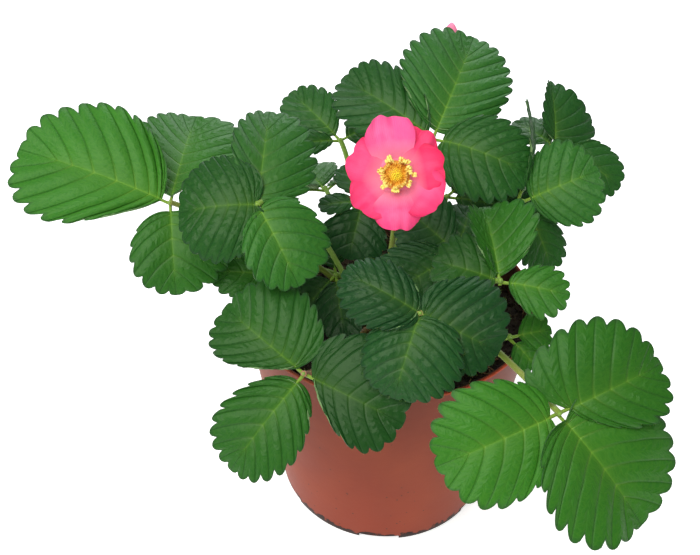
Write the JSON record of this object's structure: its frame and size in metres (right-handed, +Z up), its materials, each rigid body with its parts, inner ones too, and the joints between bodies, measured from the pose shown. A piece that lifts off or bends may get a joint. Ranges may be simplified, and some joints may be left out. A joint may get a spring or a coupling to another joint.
{
  "type": "potted strawberry plant",
  "caption": "Strawberry plant with three-part toothed leaves on long stalks and a pink flower, growing in a round tapered plastic pot.",
  "frame": {"origin": "middle of the pot's foot, on the surface it stands on", "axes": "+Z up along the pot's axis, +X to the plant's right and -Y to its front, the side the flower looks to"},
  "size_m": [0.2677, 0.236, 0.2092],
  "materials": {
    "leaf_green": "satin leaf blade with a faint sheen",
    "petiole_green": "pale, softly hairy stem",
    "sepal_green": "matt, hairy sepal",
    "petal_pink": "smooth, soft petal",
    "flower_yellow": "matt pollen and pistils",
    "crown_brown": "rough brown-green crown",
    "soil_brown": "damp, loose potting soil",
    "pot_terracotta": "thin smooth brown-red plastic, a little worn"
  },
  "bodies": {
    "root": {"leaf_left_outer": "leaf_green", "petiole_left_outer": "petiole_green", "leaf_left_inner": "leaf_green", "petiole_left_inner": "petiole_green", "leaf_front_left": "leaf_green", "petiole_front_left": "petiole_green", "leaf_front_centre": "leaf_green", "petiole_front_centre": "petiole_green", "leaf_right_inner": "leaf_green", "petiole_right_inner": "petiole_green", "leaf_top": "leaf_green", "petiole_top": "petiole_green", "leaf_left_back": "leaf_green", "petiole_left_back": "petiole_green", "leaf_right": "leaf_green", "petiole_right": "petiole_green", "leaf_right_back": "leaf_green", "petiole_right_back": "petiole_green", "leaf_front_right": "leaf_green", "petiole_front_right": "petiole_green", "leaf_rim_right": "leaf_green", "petiole_rim_right": "petiole_green", "leaf_low_left": "leaf_green", "petiole_low_left": "petiole_green", "leaf_mid_left": "leaf_green", "petiole_mid_left": "petiole_green", "leaf_mid_right": "leaf_green", "petiole_mid_right": "petiole_green", "leaf_behind_right": "leaf_green", "petiole_behind_right": "petiole_green", "leaf_under_left": "leaf_green", "petiole_under_left": "petiole_green", "leaf_back_left": "leaf_green", "petiole_back_left": "petiole_green", "leaf_back_middle": "leaf_green", "petiole_back_middle": "petiole_green", "leaf_back_right": "leaf_green", "petiole_back_right": "petiole_green", "flower_stalk": "petiole_green", "flower_calyx": "sepal_green", "flower_petals": "petal_pink", "flower_centre": "flower_yellow", "bud_stalk": "petiole_green", "bud": "sepal_green", "crown": "crown_brown", "soil": "soil_brown", "pot": "pot_terracotta"}
  },
  "joints": []
}
